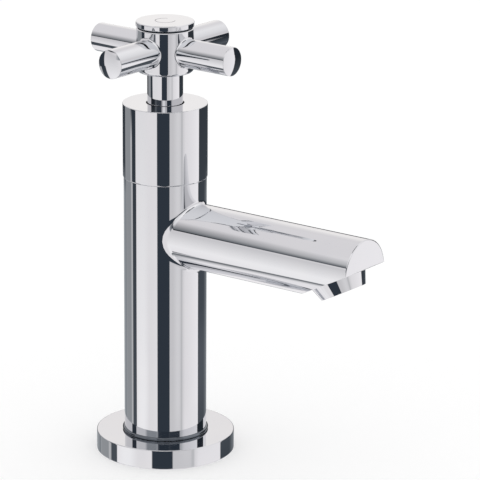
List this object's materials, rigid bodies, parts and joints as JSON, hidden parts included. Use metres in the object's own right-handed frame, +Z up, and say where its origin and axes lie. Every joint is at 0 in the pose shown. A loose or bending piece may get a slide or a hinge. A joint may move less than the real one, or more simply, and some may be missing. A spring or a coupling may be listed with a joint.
{
  "type": "cross handle tap",
  "caption": "Chrome basin pillar tap with a cross handle on a round column, a straight round spout cut at a slope above its nozzle, and a round foot flange",
  "frame": {"origin": "middle of the foot flange's underside, on the deck that the tap stands on", "axes": "+Z up along the column and the handle's axis, +X along the spout, +Y to the left of someone who looks out along the spout"},
  "size_m": [0.127, 0.0664, 0.1715],
  "materials": {
    "chrome_plate": "bright polished chrome plate on brass",
    "black_rubber": "smooth moulded rubber",
    "alumina": "lapped alumina ceramic",
    "brass": "turned brass",
    "spindle_brass": "turned brass with rolled splines",
    "fibre": "pressed fibre",
    "white_acetal": "moulded acetal",
    "ptfe": "machined low-friction plastic",
    "stainless": "plain stainless steel"
  },
  "bodies": {
    "tap_body": {"body_casting": "chrome_plate", "foot_flange": "chrome_plate", "foot_ring": "chrome_plate", "deck_gasket": "black_rubber", "seat_seal": "black_rubber", "fixed_disc": "alumina", "headwork_body": "brass", "headwork_gasket": "fibre", "shroud": "chrome_plate", "shroud_o_ring": "black_rubber", "glide_ring": "white_acetal", "nozzle_housing": "chrome_plate", "aerator_washer": "black_rubber", "aerator_screen": "stainless", "flow_straightener": "white_acetal"},
    "handle": {"moving_disc": "alumina", "spindle": "spindle_brass", "thrust_washer": "ptfe", "spindle_o_rings": "black_rubber", "spindle_circlip": "stainless", "neck_sleeve": "chrome_plate", "spline_bush": "brass", "hub": "chrome_plate", "bar_front": "chrome_plate", "bar_left": "chrome_plate", "bar_back": "chrome_plate", "bar_right": "chrome_plate", "bar_studs": "stainless", "handle_screw": "stainless", "hub_cap": "chrome_plate", "cap_o_ring": "black_rubber"}
  },
  "joints": [
    {"name": "handle_turn", "type": "hinge", "parent": "tap_body", "child": "handle", "pos_m": [0, 0, 0], "axis": [0, 0, 1], "range_deg": [0, 90]}
  ]
}
